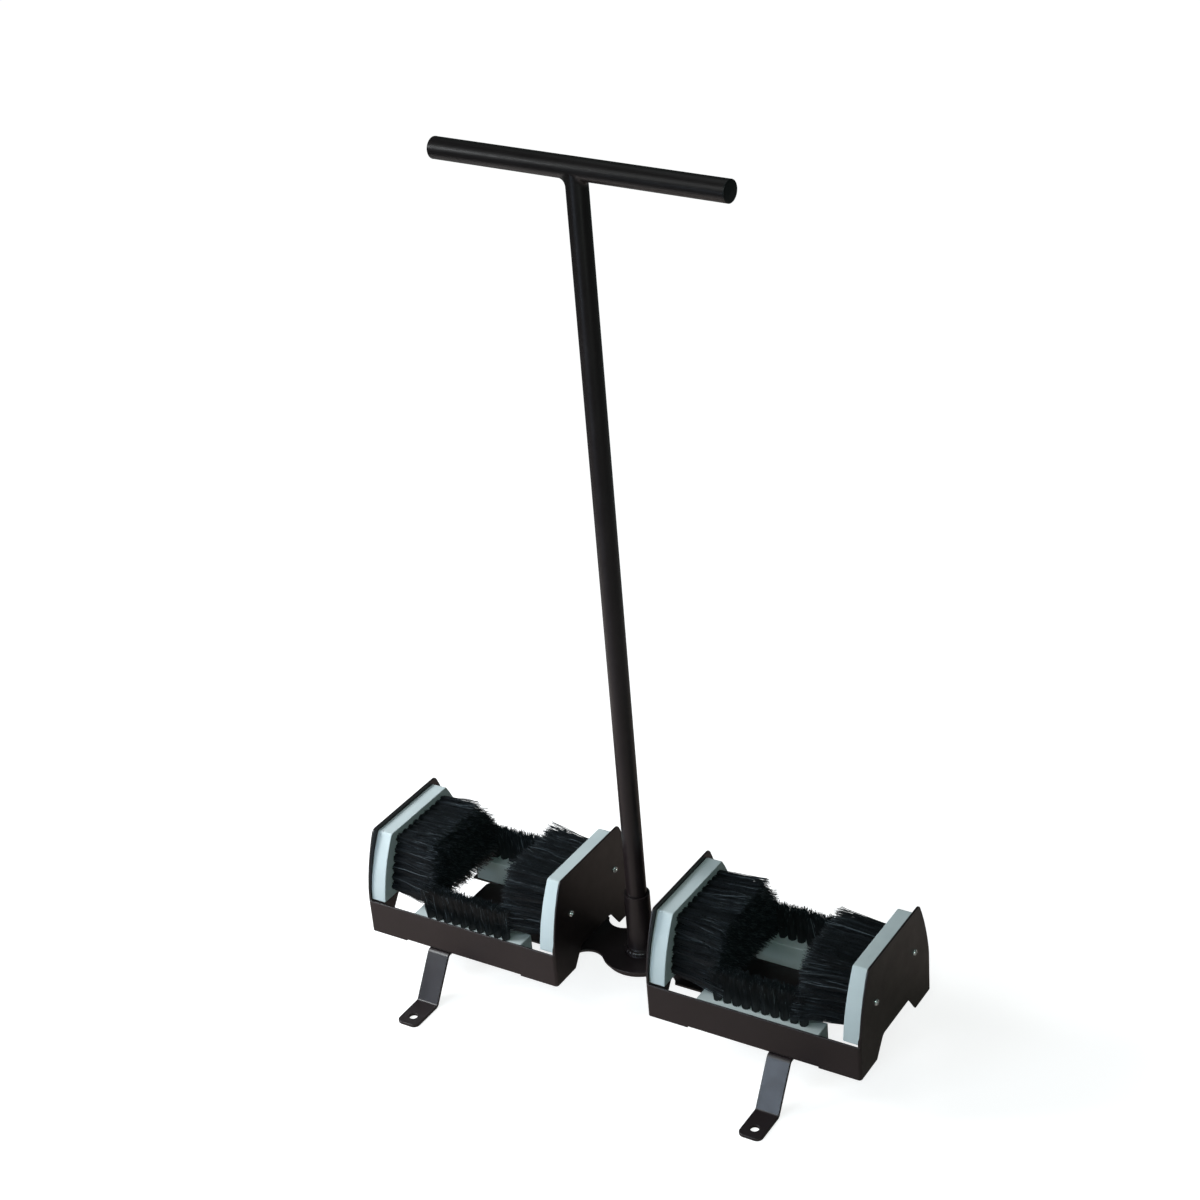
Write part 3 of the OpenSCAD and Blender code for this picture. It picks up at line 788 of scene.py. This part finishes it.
def loose_parts(node):
    """Low corner, high corner and middle of the points of each screw of a node."""
    copy = merged_copy(node, "screw_parts")
    bpy.ops.object.mode_set(mode="EDIT")
    bpy.ops.mesh.select_all(action="SELECT")
    bpy.ops.mesh.separate(type="LOOSE")
    bpy.ops.object.mode_set(mode="OBJECT")
    parts = list(bpy.context.selected_objects)
    for part in parts:
        points = np.array([v.co for v in part.data.vertices])
        yield points.min(axis=0), points.max(axis=0), points.mean(axis=0)
    for part in parts:
        bpy.data.objects.remove(part)


def make_screws(material):
    draw = random.Random(SCREW_SEED)
    for node in ("side_block_screws", "bottom_block_screws"):
        screw = one_screw()
        screws = []
        for low, high, mean in list(loose_parts(node)):
            axis = int(np.argmax(high - low))
            middle = (low + high) / 2
            way = 1 if mean[axis] > middle[axis] else -1
            middle[axis] = (high[axis] if way > 0 else low[axis]) - way * HEAD_H * MM
            out = Vector([way if k == axis else 0 for k in range(3)])
            activate(screw)
            bpy.ops.object.duplicate()
            copy = bpy.context.object
            copy.rotation_mode = "QUATERNION"
            turn = Matrix.Rotation(draw.uniform(0, math.pi / 2), 4, "Z").to_quaternion()
            copy.rotation_quaternion = out.to_track_quat("Z", "Y") @ turn
            copy.location = middle
            settle(copy)
            screws.append(copy)
        bpy.data.objects.remove(screw)
        activate(screws[0])
        for copy in screws[1:]:
            copy.select_set(True)
        bpy.ops.object.join()
        screws[0].name = f"zinc_{node}"
        finish_piece(screws[0], "stand", "zinc_screw", material, node)


def fold_ends(tray):
    """A test for edges in the end faces of the rounded folds under a tray's low walls."""
    low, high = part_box(tray.replace("tray", "front_block"))
    ends = (low[0] - FLANGE_PAST * MM, high[0] + FLANGE_PAST * MM)
    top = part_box(tray)[0][2] + (FOLD_R + 0.1) * MM
    return lambda a, b: max(a.z, b.z) < top and any(
        max(abs(a.x - x), abs(b.x - x)) < 0.01 * MM for x in ends)


def widen_rear_flange(obj, tray):
    """Moves the rear flange's inner edge inwards, which closes the view under the rear block."""
    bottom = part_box(tray)[0][2]
    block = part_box(tray.replace("tray", "rear_block"))
    pick_faces(obj, lambda c, n: n[1] < -0.99 and block[0][1] - MM < c[1] < block[1][1]
               and bottom < c[2] < block[0][2] + SAME_PLANE)
    bpy.ops.transform.translate(value=(0, -FLANGE_INWARDS * MM, 0))
    bpy.ops.object.mode_set(mode="OBJECT")


def paint(material, *names):
    """Gives a material to CAD nodes that are shown as they are."""
    for name in names:
        nodes[name].data.materials.clear()
        nodes[name].data.materials.append(material)


def make_steel():
    coat = powder_coat()
    for node in ("left_tray", "right_tray", "cross_plate", "hub_boss",
                 "left_foot_strap", "right_foot_strap"):
        steel = merged_copy(node, f"{node}_coated")
        if "tray" in node:
            widen_rear_flange(steel, node)
        soften(steel, EDGE_R * MM, fold_ends(node) if "tray" in node else None)
        finish_piece(steel, "stand", "powder_coat", coat, node)
    finish_piece(post_tube(), "handle", "powder_coat", coat, "handle_post")
    finish_piece(socket_bead(), "stand", "powder_coat", coat)
    finish_piece(crotch_weld(), "handle", "powder_coat", coat)
    paint(coat, "left_spacer", "right_spacer", "post_socket", "handle_bar")
    paint(plug_plastic(), "left_end_plug", "right_end_plug")
    make_screws(zinc())


# Floor and light

def add_area(name, place, aim, size, power, colour, spread):
    lamp = bpy.data.lights.new(name, "AREA")
    lamp.shape = "RECTANGLE"
    lamp.size, lamp.size_y = size
    lamp.energy = power
    lamp.color = colour
    lamp.spread = math.radians(spread)
    obj = bpy.data.objects.new(name, lamp)
    bpy.context.scene.collection.objects.link(obj)
    obj.location = place
    obj.rotation_euler = (Vector(aim) - Vector(place)).to_track_quat("-Z", "Y").to_euler()


def make_floor():
    clear_selection()
    bpy.ops.mesh.primitive_plane_add(size=FLOOR_SIZE, location=(0, 0, -FLOOR_DROP))
    floor = bpy.context.object
    floor.name = "floor"
    floor.data.materials.append(floor_paint())


def make_light():
    world = bpy.data.worlds.new("studio")
    bpy.context.scene.world = world
    world.use_nodes = True
    tree = world.node_tree
    back = tree.nodes["Background"]
    back.inputs["Color"].default_value = (*ROOM_COLOUR, 1)
    back.inputs["Strength"].default_value = ROOM_STRENGTH
    white = tree.nodes.new("ShaderNodeBackground")
    white.inputs["Color"].default_value = (1, 1, 1, 1)
    white.inputs["Strength"].default_value = 1.0
    path = tree.nodes.new("ShaderNodeLightPath")
    mix = tree.nodes.new("ShaderNodeMixShader")
    tree.links.new(path.outputs["Is Camera Ray"], mix.inputs["Fac"])
    tree.links.new(back.outputs["Background"], mix.inputs[1])
    tree.links.new(white.outputs["Background"], mix.inputs[2])
    tree.links.new(mix.outputs["Shader"], tree.nodes["World Output"].inputs["Surface"])
    for lamp in LAMPS:
        add_area(*lamp)


make_camera()
make_steel()
make_brushes()
make_floor()
make_light()
